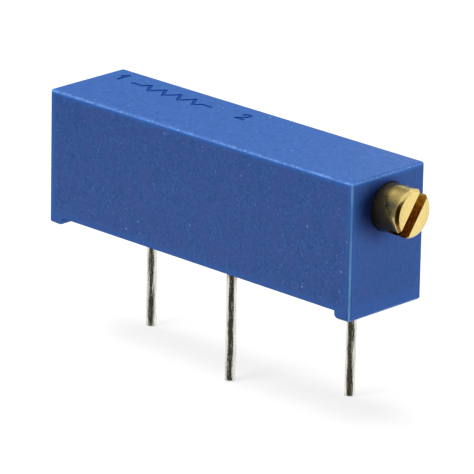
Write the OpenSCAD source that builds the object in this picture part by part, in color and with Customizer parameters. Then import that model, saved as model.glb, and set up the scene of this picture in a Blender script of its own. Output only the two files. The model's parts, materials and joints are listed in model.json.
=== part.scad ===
// Multi-turn rectangular trimmer potentiometer with a side screw and three in-line terminals.
// Sizes are in millimetres. The origin is the axis of terminal 1 at the face of the board,
// +X runs along the housing towards the screw head and +Z points away from the board.
// Each module is drawn about the middle of the wiper's travel and is then moved to that origin.

/* [Terminals] */
// Distance along the housing from terminal 1 to terminal 2
terminal_2_x = 7.62; // [6.35:0.01:8.89]
// Distance along the housing from terminal 1 to terminal 3
terminal_3_x = 12.7; // [10.16:0.01:15.24]
// Distance across the housing between the two rows of terminals
row_pitch = 2.54; // [2.1:0.01:3.2]
// Radius of the round terminals
terminal_r = 0.25; // [0.2:0.01:0.32]
// Length of each terminal below the face of the board
terminal_l = 5.2; // [3:0.1:8]
// Chamfer on the cut end of each terminal
terminal_chamfer = 0.08; // [0.02:0.01:0.12]
// Length of a terminal that passes the top of the substrate
terminal_top = 0.24; // [0.18:0.01:0.3]
// How far the stop collar of a terminal stands out from it
collar_out = 0.16; // [0.1:0.01:0.2]
// Length of the stop collar
collar_l = 0.6; // [0.55:0.05:0.7]
// How far the stop collar stands out of the sealing resin
collar_show = 0.2; // [0.15:0.01:0.25]

/* [Housing] */
// Distance along the housing from terminal 1 to the end wall at the screw's tip
tip_clear = 1.875; // [1.5:0.025:2.5]
// Distance along the housing from terminal 3 to the end wall at the screw's head
head_clear = 1.175; // [0.975:0.025:2]
// Thickness of the end wall that carries the tip of the screw
tip_wall_t = 1.3; // [1.1:0.05:1.8]
// Thickness of the end wall that carries the head of the screw
head_wall_t = 2; // [1.7:0.05:2.6]
// Thickness of both end walls beside the substrate
end_t = 0.97; // [0.8:0.01:1.2]
// Thickness of the side walls beside the substrate
side_t = 0.61; // [0.45:0.01:0.9]
// Thickness of the top wall
top_t = 0.7; // [0.5:0.05:1]
// Height of the chamber that the carriage runs in
chamber_h = 3.6; // [3:0.05:4.4]
// Height from the lower edge of the housing to the ledge that the substrate is pushed against
skirt_h = 1.8; // [1.5:0.05:2.4]
// Width of that ledge
ledge_w = 0.28; // [0.2:0.02:0.36]
// Height of the two feet
foot_h = 0.4; // [0.3:0.05:0.6]
// Length of each foot along the housing
foot_l = 0.9; // [0.6:0.05:0.95]
// Radius on the inner lower corner of each foot
foot_r = 0.3; // [0.1:0.05:0.35]
// Radius along the outer edges of the housing
edge_r = 0.18; // [0.05:0.01:0.25]
// Radius in the upright corners of the cavities
cavity_r = 0.15; // [0.05:0.01:0.18]

/* [Adjustment screw] */
// Depth of the screw's axis below the ceiling of the chamber
screw_drop = 0.87; // [0.72:0.01:1.1]
// Radius of the head
head_r = 1.12; // [0.95:0.01:1.3]
// Length of head that stands out of the housing
head_out = 1.54; // [1.2:0.02:2]
// Length of head inside the end wall
head_in = 0.92; // [0.8:0.01:1]
// Width of the chamfer round the outer end of the head
rim_chamfer = 0.13; // [0.05:0.01:0.2]
// Width of the driver slot
slot_w = 0.6; // [0.4:0.02:0.8]
// Depth of the driver slot
slot_depth = 0.9; // [0.4:0.02:1.1]
// Angle of the slot at rest, from level, seen from the head
slot_angle = 54; // [0:1:180]
// Radius over the thread
thread_r = 0.7; // [0.58:0.01:0.8]
// Radius of the plain journal at the tip
journal_r = 0.45; // [0.35:0.01:0.55]
// Length of journal inside its bearing
journal_l = 0.75; // [0.5:0.05:0.9]
// Length of plain journal between the thread and its bearing
journal_free = 0.5; // [0.2:0.05:0.8]

/* [Seal and clip] */
// Radius of the seal's section
seal_r = 0.23; // [0.18:0.01:0.24]
// Depth of the seal's groove below the head
seal_groove = 0.47; // [0.42:0.01:0.5]
// Thickness of the retaining clip
clip_t = 0.3; // [0.2:0.01:0.35]
// How far the clip reaches into each side wall
clip_bite = 0.18; // [0.1:0.01:0.22]
// Depth of the clip's groove below the thread
clip_groove = 0.2; // [0.1:0.01:0.25]
// Height of the clip's prongs above the screw's axis
prong_up = 0.7; // [0.5:0.05:0.75]

/* [Carriage] */
// Length of the carriage along the screw
carriage_l = 2.8; // [2.3:0.05:2.9]
// Length of each guide shoe at the ends of the carriage
shoe_l = 0.6; // [0.4:0.05:0.9]
// Depth of the relief between the guide shoes
shoe_relief = 0.12; // [0.05:0.01:0.2]
// Radius of the posts that hold the wiper
post_r = 0.13; // [0.1:0.01:0.15]
// How far the head of each post stands out from it
post_head_out = 0.1; // [0.05:0.01:0.12]
// Thickness of the head on each post
post_head_t = 0.12; // [0.08:0.01:0.15]

/* [Wiper] */
// Distance from each outer terminal to the wiper at the end of its travel
travel_margin = 0.725; // [0.65:0.025:1.2]
// Length of the plate that the fingers spring from
plate_l = 0.6; // [0.5:0.02:0.7]
// Height of the carriage above the tracks, which the wiper spans
wiper_h = 0.8; // [0.7:0.02:0.9]
// Thickness of the spring
spring_t = 0.08; // [0.06:0.01:0.1]
// Width of one finger
finger_w = 0.13; // [0.08:0.01:0.16]
// Distance from one finger to the next
finger_pitch = 0.18; // [0.17:0.01:0.19]
// Fingers on each track
finger_count = 3; // [2:1:3]
// Length of the fingers along the housing
finger_l = 0.7; // [0.58:0.02:0.82]
// Radius under the curved tip of a finger
tip_r = 0.16; // [0.14:0.01:0.2]

/* [Substrate and tracks] */
// Thickness of the ceramic substrate
substrate_t = 0.635; // [0.5:0.005:0.7]
// Thickness of the printed tracks
film_t = 0.03; // [0.02:0.005:0.05]
// Width of each track
track_w = 0.66; // [0.54:0.02:0.7]
// Distance between the two tracks
track_gap = 0.4; // [0.32:0.02:0.46]
// Length of pad that the wiper reaches at each end of its travel
end_contact = 0.15; // [0.05:0.05:0.3]
// Length of collector track past each end of the travel
collector_extra = 0.35; // [0.2:0.05:0.5]
// Width of the solder fillet round a terminal
solder_w = 0.15; // [0.1:0.01:0.16]
// Depth of the sealing resin below the edge of the housing
resin_recess = 0.3; // [0.1:0.05:0.35]

/* [Clearances] */
// Running clearance round the screw, on radius
running_gap = 0.03; // [0.01:0.01:0.06]
// Sliding clearance round the carriage
slide_gap = 0.05; // [0.03:0.01:0.08]
// End play of the screw at the clip, each way
thrust_gap = 0.04; // [0.02:0.01:0.06]
// Clearance between parts that are bonded or trapped
bond_gap = 0.01; // [0.005:0.005:0.02]
// Clearance round the substrate, beside the seal and over the solder
fit_gap = 0.06; // [0.05:0.01:0.08]

/* [Hidden] */
$fn = 64;

housing_blue = [0.22, 0.37, 0.66];
brass = [0.80, 0.66, 0.34];
tin = [0.66, 0.66, 0.63];
silver = [0.80, 0.80, 0.78];
alumina = [0.93, 0.92, 0.88];
cermet = [0.16, 0.16, 0.17];
spring_metal = [0.78, 0.68, 0.45];
spring_steel = [0.55, 0.56, 0.58];
seal_rubber = [0.10, 0.10, 0.10];
carriage_white = [0.90, 0.88, 0.82];
resin_blue = [0.15, 0.24, 0.40];

// Cutters pass the faces that they open by this much
cut = 0.1;

// Rows of terminals, and where each terminal stands about the middle of the travel
terminal_y = row_pitch / 2;
outer_x = terminal_3_x / 2;
terminals = [[-outer_x, terminal_y], [terminal_2_x - outer_x, -terminal_y], [outer_x, terminal_y]];
collar_r = terminal_r + collar_out;
travel = terminal_3_x - 2 * travel_margin;

// Solder round each terminal, the pad under it and the pocket over it
pad_rim = 0.02;
solder_r = terminal_r + bond_gap + solder_w;
pad_r = solder_r + pad_rim;
pocket_r = pad_r + fit_gap;

// Cavities and outer faces, across the housing
lower_y = terminal_y + pocket_r + 2 * bond_gap;
upper_y = lower_y - ledge_w;
side_y = lower_y + side_t;

// Cavities and outer faces, along the housing
tip_x = -outer_x - tip_clear;
head_x = outer_x + head_clear;
tail_x = tip_x - tip_wall_t;
face_x = head_x + head_wall_t;
lower_x0 = tail_x + end_t;
lower_x1 = face_x - end_t;

// Heights above the board
ledge_z = foot_h + skirt_h;
ceiling_z = ledge_z + chamber_h;
top_z = ceiling_z + top_t;
foot_straight = 0.05;
foot_round = min(foot_r, foot_h - foot_straight);
resin_z = foot_h + resin_recess;
collar_z = resin_z - collar_show;
substrate_z = ledge_z - substrate_t;
film_z = ledge_z + film_t;
terminal_z = film_z + terminal_top;
pocket_z = terminal_z + 2 * fit_gap;

// Screw, from the head inwards
screw_z = ceiling_z - screw_drop;
head_end_x = face_x + head_out;
bore_r = head_r + running_gap;
groove_outer_x = face_x - head_in;
groove_inner_x = groove_outer_x - 2 * seal_r - fit_gap;
groove_r = head_r - seal_groove;
clip_outer_x = head_x - bond_gap;
clip_inner_x = clip_outer_x - clip_t;
collar_x = clip_outer_x + thrust_gap;
thread_end_x = clip_inner_x - thrust_gap;
thread_start_x = tip_x + journal_free;
clip_r = thread_r - clip_groove;
thread_chamfer = 0.12;
journal_chamfer = 0.1;
groove_corner = 0.04;

// Films on the substrate
track_x = travel / 2 - end_contact;
collector_x = travel / 2 + collector_extra;
track_y = track_gap / 2 + track_w / 2;
pad_y = upper_y - 2 * bond_gap;

// Carriage and wiper
carriage_y = upper_y - slide_gap;
carriage_z = film_z + wiper_h;
carriage_top = min(ceiling_z - slide_gap, screw_z + thread_r);
saddle_r = thread_r + slide_gap;
plate_inset = 0.1;
plate_x1 = carriage_l / 2 - plate_inset;
plate_x0 = plate_x1 - plate_l;
plate_y = track_y + (finger_count - 1) * finger_pitch / 2 + finger_w;
tip_centre_x = plate_x0 - finger_l;
post_x = (plate_x0 + plate_x1) / 2;
post_y = plate_y / 2;
post_head_r = post_r + post_head_out;
contact_gap = 0.02;

// Moves a sub-part from the middle of the travel to the origin at terminal 1
module from_middle() {
    translate([outer_x, -terminal_y, 0]) children();
}

// Points local +Z along the housing, so that a revolved profile lies along the screw
module along_screw() {
    translate([0, 0, screw_z]) rotate([0, 90, 0]) children();
}

// Rectangle about the origin with round corners
module rounded_rectangle(length, width, radius) {
    union() {
        square([length - 2 * radius, width], center = true);
        square([length, width - 2 * radius], center = true);
        for (sx = [-1, 1], sy = [-1, 1])
            translate([sx * (length / 2 - radius), sy * (width / 2 - radius)]) circle(radius);
    }
}

// Upright block between two X positions and two heights, with round upright corners
module cavity_block(x0, x1, half_y, z0, z1, radius) {
    translate([(x0 + x1) / 2, 0, z0])
        linear_extrude(z1 - z0) rounded_rectangle(x1 - x0, 2 * half_y, radius);
}

// Outside of the housing: three rounded outlines, one for each direction, meet in one block
module outer_block() {
    body_l = face_x - tail_x;
    body_w = 2 * side_y;
    translate([(tail_x + face_x) / 2, 0, top_z / 2]) intersection() {
        linear_extrude(top_z, center = true) rounded_rectangle(body_l, body_w, edge_r);
        rotate([90, 0, 0])
            linear_extrude(body_w, center = true) rounded_rectangle(body_l, top_z, edge_r);
        rotate([90, 0, 90])
            linear_extrude(body_l, center = true) rounded_rectangle(body_w, top_z, edge_r);
    }
}

// Space under the housing between its feet, flared where each foot's corner is round
module between_feet() {
    gap_x0 = tail_x + foot_l;
    gap_x1 = face_x - foot_l;
    rotate([90, 0, 0]) linear_extrude(2 * side_y + 2 * cut, center = true) union() {
        translate([gap_x0, -cut]) square([gap_x1 - gap_x0, foot_h + cut]);
        difference() {
            translate([gap_x0 - foot_round, -cut])
                square([gap_x1 - gap_x0 + 2 * foot_round, foot_round + cut]);
            translate([gap_x0 - foot_round, foot_round]) circle(foot_round);
            translate([gap_x1 + foot_round, foot_round]) circle(foot_round);
        }
    }
}

// Room in the ledge for a terminal's end and its solder
module terminal_pocket(place) {
    translate([place[0], place[1], ledge_z - cut]) cylinder(r = pocket_r, h = pocket_z - ledge_z + cut);
}

// Grooves in the side walls that the clip is pushed up into
module clip_slot() {
    slot_top = screw_z + prong_up + bond_gap;
    translate([clip_inner_x - bond_gap, -upper_y - clip_bite, ledge_z - cut])
        cube([head_x - clip_inner_x + bond_gap, 2 * (upper_y + clip_bite), slot_top - ledge_z + cut]);
}

module housing() {
    color(housing_blue) from_middle() difference() {
        outer_block();
        between_feet();
        cavity_block(lower_x0, lower_x1, lower_y, foot_h - cut, ledge_z, cavity_r);
        cavity_block(tip_x, head_x, upper_y, ledge_z - cut, ceiling_z, cavity_r);
        for (place = terminals) terminal_pocket(place);
        clip_slot();
        along_screw() translate([0, 0, head_x - cut]) cylinder(r = bore_r, h = head_wall_t + 2 * cut);
        along_screw() translate([0, 0, tip_x - journal_l - running_gap])
            cylinder(r = journal_r + running_gap, h = journal_l + running_gap + cut);
    }
}

module substrate() {
    color(alumina) from_middle() difference() {
        translate([lower_x0 + fit_gap, -lower_y + fit_gap, substrate_z])
            cube([lower_x1 - lower_x0 - 2 * fit_gap, 2 * (lower_y - fit_gap), substrate_t]);
        for (place = terminals) translate([place[0], place[1], substrate_z - cut])
            cylinder(r = terminal_r + bond_gap, h = substrate_t + 2 * cut);
    }
}

module resistive_track() {
    color(cermet) from_middle() translate([-track_x, track_gap / 2, ledge_z])
        cube([2 * track_x, track_w, film_t]);
}

// Printed ring round a terminal, drawn flat
module pad_ring(place) {
    translate(place) circle(pad_r);
}

// Hole for a terminal, drawn flat
module terminal_hole(place) {
    translate(place) circle(terminal_r + bond_gap);
}

// Printed pad from the end of the resistive track out to a terminal
module end_pad(side, place) {
    pad_x = outer_x + pad_r;
    translate([0, 0, ledge_z]) linear_extrude(film_t) difference() {
        union() {
            translate([side < 0 ? -pad_x : track_x, track_gap / 2])
                square([pad_x - track_x, pad_y - track_gap / 2]);
            pad_ring(place);
        }
        terminal_hole(place);
    }
}

module end_pad_1() {
    color(silver) from_middle() end_pad(-1, terminals[0]);
}

module end_pad_3() {
    color(silver) from_middle() end_pad(1, terminals[2]);
}

// Silver strip that the second row of fingers runs on, with its branch to terminal 2
module collector_track() {
    place = terminals[1];
    color(silver) from_middle() translate([0, 0, ledge_z]) linear_extrude(film_t) difference() {
        union() {
            translate([-collector_x, -track_gap / 2 - track_w]) square([2 * collector_x, track_w]);
            translate([place[0] - pad_r, place[1]]) square([2 * pad_r, -place[1] - track_gap / 2]);
            pad_ring(place);
        }
        terminal_hole(place);
    }
}

// Round wire with a chamfered end and a stop collar at the face of the resin
module terminal(place) {
    translate([place[0], place[1], 0]) rotate_extrude() polygon([
        [0, -terminal_l],
        [terminal_r - terminal_chamfer, -terminal_l],
        [terminal_r, -terminal_l + terminal_chamfer],
        [terminal_r, collar_z],
        [collar_r, collar_z],
        [collar_r, collar_z + collar_l],
        [terminal_r, collar_z + collar_l],
        [terminal_r, terminal_z],
        [0, terminal_z]
    ]);
}

module terminal_1() {
    color(tin) from_middle() terminal(terminals[0]);
}

module terminal_2() {
    color(tin) from_middle() terminal(terminals[1]);
}

module terminal_3() {
    color(tin) from_middle() terminal(terminals[2]);
}

// Hollow-sided ring of solder between a pad and its terminal
module solder_joint(place) {
    foot = 0.04;
    translate([place[0], place[1], film_z]) rotate_extrude() difference() {
        translate([terminal_r + bond_gap, 0]) square([solder_w, solder_w + foot]);
        translate([solder_r, solder_w + foot]) circle(solder_w - foot / 2);
    }
}

module solder_joint_1() {
    color(tin) from_middle() solder_joint(terminals[0]);
}

module solder_joint_2() {
    color(tin) from_middle() solder_joint(terminals[1]);
}

module solder_joint_3() {
    color(tin) from_middle() solder_joint(terminals[2]);
}

// Resin that closes the underside round the terminals
module sealing_resin() {
    color(resin_blue) from_middle() difference() {
        cavity_block(lower_x0 + bond_gap, lower_x1 - bond_gap, lower_y - bond_gap,
                     resin_z, substrate_z, cavity_r);
        for (place = terminals) translate([place[0], place[1], 0]) {
            translate([0, 0, resin_z - cut]) cylinder(r = terminal_r + bond_gap, h = substrate_z);
            translate([0, 0, collar_z]) cylinder(r = collar_r + bond_gap, h = collar_l + bond_gap);
        }
    }
}

// Ring in the groove behind the screw's head
module shaft_seal() {
    ring_r = (groove_r + bore_r) / 2;
    middle_x = (groove_outer_x + groove_inner_x) / 2;
    section_r = min(seal_r, (bore_r - groove_r) / 2 - bond_gap);
    color(seal_rubber) from_middle() along_screw() translate([0, 0, middle_x])
        rotate_extrude() translate([ring_r, 0]) circle(section_r, $fn = 32);
}

// Flat fork that straddles the screw's groove and stands on the substrate
module retaining_clip() {
    half_y = upper_y + clip_bite - bond_gap;
    mouth = clip_r + running_gap;
    bottom = ledge_z + bond_gap;
    color(spring_steel) from_middle() translate([clip_inner_x, 0, 0]) difference() {
        translate([0, -half_y, bottom]) cube([clip_t, 2 * half_y, screw_z + prong_up - bottom]);
        translate([-cut, -mouth, screw_z]) cube([clip_t + 2 * cut, 2 * mouth, prong_up + cut]);
        translate([-cut, 0, screw_z]) rotate([0, 90, 0]) cylinder(r = mouth, h = clip_t + 2 * cut);
    }
}

// Turned screw: journal, thread, clip groove, collar, seal groove and slotted head
module adjustment_screw() {
    color(brass) from_middle() along_screw() difference() {
        rotate_extrude() polygon([
            [0, tip_x - journal_l],
            [journal_r - journal_chamfer, tip_x - journal_l],
            [journal_r, tip_x - journal_l + journal_chamfer],
            [journal_r, thread_start_x],
            [thread_r - thread_chamfer, thread_start_x],
            [thread_r, thread_start_x + thread_chamfer],
            [thread_r, thread_end_x - thread_chamfer],
            [thread_r - thread_chamfer / 2, thread_end_x],
            [clip_r, thread_end_x],
            [clip_r, collar_x],
            [head_r - groove_corner, collar_x],
            [head_r, collar_x + groove_corner],
            [head_r, groove_inner_x - groove_corner],
            [head_r - groove_corner, groove_inner_x],
            [groove_r, groove_inner_x],
            [groove_r, groove_outer_x],
            [head_r - groove_corner, groove_outer_x],
            [head_r, groove_outer_x + groove_corner],
            [head_r, head_end_x - rim_chamfer],
            [head_r - rim_chamfer, head_end_x],
            [0, head_end_x]
        ]);
        rotate([0, 0, slot_angle]) translate([-slot_w / 2, -head_r - cut, head_end_x - slot_depth])
            cube([slot_w, 2 * (head_r + cut), slot_depth + cut]);
    }
}

// Saddle that the screw drives, with a guide shoe at each end and posts for the wiper
module carriage() {
    relief_l = carriage_l - 2 * shoe_l;
    color(carriage_white) from_middle() union() {
        difference() {
            translate([-carriage_l / 2, -carriage_y, carriage_z])
                cube([carriage_l, 2 * carriage_y, carriage_top - carriage_z]);
            along_screw() translate([0, 0, -carriage_l / 2 - cut])
                cylinder(r = saddle_r, h = carriage_l + 2 * cut);
            translate([-carriage_l / 2 - cut, -saddle_r, screw_z])
                cube([carriage_l + 2 * cut, 2 * saddle_r, carriage_top - screw_z + cut]);
            for (side = [-1, 1])
                translate([-relief_l / 2, side * carriage_y - shoe_relief, carriage_z + shoe_l])
                    cube([relief_l, 2 * shoe_relief, carriage_top - carriage_z]);
        }
        for (side = [-1, 1]) wiper_post(side * post_y);
    }
}

// Post through the wiper's plate, with the head that holds it
module wiper_post(y) {
    head_z = carriage_z - spring_t - post_head_t;
    translate([post_x, y, head_z]) rotate_extrude() polygon([
        [0, 0],
        [post_head_r - post_head_t / 2, 0],
        [post_head_r, post_head_t / 2],
        [post_head_r, post_head_t],
        [post_r, post_head_t],
        [post_r, post_head_t + spring_t + cut],
        [0, post_head_t + spring_t + cut]
    ]);
}

// Side view of one finger about its tip: a sloping arm that is tangent to the curved end
module finger_outline() {
    root = [finger_l + spring_t, carriage_z - spring_t];
    tip_z = film_z + contact_gap + tip_r;
    reach = norm([root[0], root[1] - tip_z]);
    slope = atan2(root[1] - tip_z, root[0]) + asin(tip_r / reach);
    union() {
        translate(root) rotate(180 + slope) translate([0, -spring_t])
            square([sqrt(reach * reach - tip_r * tip_r), spring_t]);
        translate([0, tip_z]) intersection() {
            difference() {
                circle(tip_r);
                circle(tip_r - spring_t);
            }
            translate([-2 * tip_r, -2 * tip_r]) square([(2 + sin(slope)) * tip_r, 2 * tip_r]);
        }
    }
}

// Stamped spring: a plate under the carriage with fingers for both tracks
module wiper() {
    half_span = (finger_count - 1) * finger_pitch / 2;
    color(spring_metal) from_middle() union() {
        difference() {
            translate([plate_x0, -plate_y, carriage_z - spring_t])
                cube([plate_x1 - plate_x0, 2 * plate_y, spring_t]);
            for (side = [-1, 1]) translate([post_x, side * post_y, carriage_z - spring_t - cut])
                cylinder(r = post_r + bond_gap, h = spring_t + 2 * cut);
        }
        for (side = [-1, 1], i = [0:finger_count - 1])
            translate([tip_centre_x, side * track_y - half_span + i * finger_pitch, 0])
                rotate([90, 0, 0]) linear_extrude(finger_w, center = true) finger_outline();
    }
}

housing();
substrate();
resistive_track();
collector_track();
end_pad_1();
end_pad_3();
terminal_1();
terminal_2();
terminal_3();
solder_joint_1();
solder_joint_2();
solder_joint_3();
sealing_resin();
shaft_seal();
retaining_clip();
adjustment_screw();
carriage();
wiper();
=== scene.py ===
"""Looks of a multi-turn trimmer potentiometer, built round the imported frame.

A blue moulded housing stands on three tinned terminals, and a slotted brass screw at its end drives a
carriage with a wiper along two printed tracks. Lengths are in metres, in the frame's own axes. Only the
numbers in a material's patterns are in millimetres.
"""

import json
import math

import bmesh
import bpy
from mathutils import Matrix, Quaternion, Vector, noise


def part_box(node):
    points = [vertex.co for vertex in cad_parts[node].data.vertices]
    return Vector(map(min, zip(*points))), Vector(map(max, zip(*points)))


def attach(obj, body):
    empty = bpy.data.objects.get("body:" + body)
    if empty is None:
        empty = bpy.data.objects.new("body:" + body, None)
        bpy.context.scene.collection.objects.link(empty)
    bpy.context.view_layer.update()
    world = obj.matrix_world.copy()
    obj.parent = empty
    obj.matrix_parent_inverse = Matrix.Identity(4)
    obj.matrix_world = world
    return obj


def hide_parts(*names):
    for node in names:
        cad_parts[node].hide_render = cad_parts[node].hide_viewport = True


MM = 0.001
TURN = 2 * math.pi
TERMINALS = ("terminal_1", "terminal_2", "terminal_3")

# Axis and the two directions round it, for a turned form along X and for an upright one
ALONG_X = (Vector((1, 0, 0)), Vector((0, 1, 0)), Vector((0, 0, 1)))
UPRIGHT = (Vector((0, 0, 1)), Vector((1, 0, 0)), Vector((0, 1, 0)))

# Camera, from a pinhole fitted to the edges of the housing in the photograph
CAMERA_AZIMUTH = math.radians(43.705)
CAMERA_ELEVATION = math.radians(18.936)
CAMERA_ROLL = math.radians(1.129)
CAMERA_DISTANCE = 236.75 * MM
CAMERA_TARGET = Vector((6.281, -0.862, 0.985)) * MM
CAMERA_LENS = 394.45
CAMERA_SENSOR = 36
CAMERA_CLIP = (0.01, 20.0)

# Adjustment screw, measured along its axis from the housing's end face or from its own tip
HEAD_INSIDE = 0.92 * MM
SEAL_GROOVE_L = 0.52 * MM
SEAL_GROOVE_R = 0.65 * MM
COLLAR_L = 0.53 * MM
CLIP_GROOVE_L = 0.38 * MM
CLIP_GROOVE_R = 0.5 * MM
JOURNAL_R = 0.45 * MM
JOURNAL_L = 1.25 * MM
JOURNAL_CHAMFER = 0.1 * MM
HEAD_EDGE = 0.04 * MM
RIM_CHAMFER = 0.13 * MM
RIM_EDGE = 0.012 * MM
SCREW_SEGMENTS = 64

# Slight waist of the head outside the housing, from the end face to just short of the rim's chamfer
WAIST_DEPTH = 0.012 * MM
WAIST_FROM_RIM = 0.42 * MM
WAIST_START = 0.25 * MM
WAIST_STOP = 0.06 * MM
WAIST_STEPS = 12

# Driver slot, and how many times its half length and its depth the cutter reaches past the head
SLOT_W = 0.6 * MM
SLOT_DEPTH = 0.9 * MM
SLOT_ANGLE = math.radians(54)
SLOT_PAST_SIDES = 1.2
SLOT_PAST_END = 1.3

# Thread: its root and its two flanks as shares of the pitch, and its rows in each turn
THREAD_R = 0.7 * MM
THREAD_DEPTH = 0.19 * MM
THREAD_RUN_OUT = 0.2 * MM
THREAD_ROOT = 0.16
THREAD_FLANKS = 0.56
THREAD_STEPS = 16

# Half nut that the screw drives, as a threaded lining of the carriage's saddle below the screw
NUT_GAP = 0.035 * MM
NUT_SKIN_R = 0.757 * MM
NUT_OUTER_R = 0.79 * MM
NUT_END = 0.05 * MM
NUT_MIDDLE = 1.5 * math.pi
NUT_SPAN = math.radians(164)
NUT_SEGMENTS = 40

# Terminals: wire with an uneven coat of tin, and a stop inside the resin
WIRE_R = 0.25 * MM
WIRE_TIP = 0.08 * MM
WIRE_TIP_STEPS = 3
WIRE_WAVE = 0.028 * MM
WIRE_THINNED = 0.3 * WIRE_WAVE
WIRE_WAVES_ROUND = 1.3
WIRE_WAVES_PER_MM = 0.9
WIRE_SEED = 900
WIRE_SEGMENTS = 40
WIRE_STEP = 0.07 * MM
STOP_R = 0.41 * MM
STOP_INSET = 0.02 * MM
STOP_Z = (0.5 * MM, 1.1 * MM)

# Sealing resin: how far it creeps up what it wets, and the swell of its skin
RESIN_CREEP = 0.13 * MM
RESIN_CREEP_L = 0.16 * MM
RESIN_CREEP_ON_WIRE = 0.8
RESIN_SWELL = 0.012 * MM
RESIN_SWELLS_PER_MM = 0.8
RESIN_STEP = 0.11 * MM
RESIN_CORNER = 0.15 * MM
RESIN_GAP = 0.01 * MM

# Round outer edges of the moulding
CORNER_R = 0.18 * MM

# How near two points of a mesh are joined, in the CAD's own and in a cut one
JOIN_REACH = 0.0005 * MM
MEND_REACH = 0.003 * MM

# Marks pressed into the top face, placed from its middle
MARK_DEPTH = 0.04 * MM
MARK_STROKE = 0.19 * MM
DIGIT_H = 0.7 * MM
DIGIT_ONE = (-8.62 * MM, 0.99 * MM)
DIGIT_TWO = (-0.63 * MM, 0.74 * MM)
SYMBOL_X = (-7.5 * MM, -2.45 * MM)
SYMBOL_Y = 1.02 * MM
SYMBOL_SWING = 0.34 * MM
SYMBOL_LEAD = 0.6 * MM
SYMBOL_PEAKS = 8
ARC_STEP = math.radians(20)

# Linear colours of the moulding
BLUE = (0.033, 0.100, 0.316, 1)
PURPLE_CAST = (0.047, 0.088, 0.300, 1)
END_CAST = (0.025, 0.097, 0.360, 1)
# Painted light: a brighter blue along the moulding's edges, at its far end and towards its foot
RIM_PAINTED_LIGHT = (0.030, 0.128, 0.450, 1)
# Painted shadow of the screw's head on the end face
HEAD_SHADOW_BLUE = (0.009, 0.030, 0.170, 1)
# Painted shade at the bottom of the pressed marks
SHADED_MARK_BLUE = (0.010, 0.048, 0.240, 1)
# Painted highlights along the moulding's upright and level edges
UPRIGHT_EDGE_HIGHLIGHT = (0.32, 0.63, 1.0, 1)
LEVEL_EDGE_HIGHLIGHT = (0.23, 0.46, 0.85, 1)
PALE_SPECK = (0.3050, 0.4452, 0.7157, 1)

# Pale specks on the moulding: spacing and radius in millimetres, share that is kept, strength
PALE_SPECKS = ((0.8, 0.07, 0.55, 0.45), (0.3, 0.045, 0.45, 0.30))

# Linear colours of the brass screw
BRASS = (0.95, 0.735, 0.28, 1)
BRASS_PATCH = (0.48, 0.38, 0.11, 1)
# Tarnish by the housing, partly painted shade
TARNISH_AND_SHADE = (0.24, 0.17, 0.030, 1)
# Painted shade low on the barrel, next to the housing
BARREL_SHADE = (0.025, 0.021, 0.018, 1)
# Painted dark reflection on one side of the rim's chamfer
RIM_DARK_REFLECTION = (0.30, 0.14, 0.04, 1)
# Slot walls: a brown darker than the brass, partly painted shade, with a painted highlight and painted shade at
# its two ends
SLOT_BROWN = (0.60, 0.33, 0.045, 1)
SLOT_HIGHLIGHT = (0.95, 0.75, 0.28, 1)
SLOT_SHADE = (0.09, 0.07, 0.02, 1)

# Linear colours of the other pieces
TIN = (0.78, 0.77, 0.72, 1)
# Painted brown shade on the terminals where they leave the resin
TIN_ROOT_SHADE = (0.20, 0.13, 0.05, 1)
RESIN = (0.012, 0.028, 0.085, 1)
ALUMINA = (0.80, 0.78, 0.72, 1)
CERMET = (0.020, 0.020, 0.022, 1)
SILVER = (0.62, 0.61, 0.57, 1)
SOLDER = (0.60, 0.60, 0.58, 1)
SPRING_ALLOY = (0.70, 0.52, 0.27, 1)
SPRING_STEEL = (0.36, 0.37, 0.39, 1)
RUBBER = (0.012, 0.012, 0.012, 1)
IVORY = (0.72, 0.68, 0.56, 1)

# Floor, with the greys that it shows to the camera and to the light it returns
FLOOR_SIZE = 6.0
FLOOR_SEEN = (0.26, 0.26, 0.26, 1)
FLOOR_GLOW = 0.76
FLOOR_DULL = (0.10, 0.10, 0.10, 1)

# Strength of the white world as a lamp
AMBIENT = 0.04

# Glowing walls that only mirrors show, with their strength at the foot and at the top
CARD_STEPS = 24
ROOM_AZIMUTHS = (math.radians(-30), math.radians(99))
ROOM_RADIUS = 300 * MM
ROOM_HEIGHTS = (-240 * MM, 250 * MM)
ROOM_COLOUR = (0.058, 0.054, 0.035, 1)
ROOM_LEVELS = (1.0, 1.0)
WALL_AZIMUTHS = (math.radians(-155), math.radians(-10))
WALL_RADIUS = 22 * MM
WALL_HEIGHTS = (-1.5 * MM, 45 * MM)
WALL_COLOUR = (1.0, 0.98, 0.90, 1)
WALL_LEVELS = (0.12, 0.46)

# Lamps: azimuth and elevation in degrees, distance and diameter in metres, power in watts
LAMPS = {
    "top": (-60, 80, 0.26, 0.26, 0.98),
    "right": (127, -6, 0.30, 0.26, 0.94),
    "left": (-12, 25, 0.30, 0.20, 0.60),
    "front": (44, 10, 0.30, 0.20, 0.05),
    "end": (-95, 10, 0.30, 0.20, 0.50),
}


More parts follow.
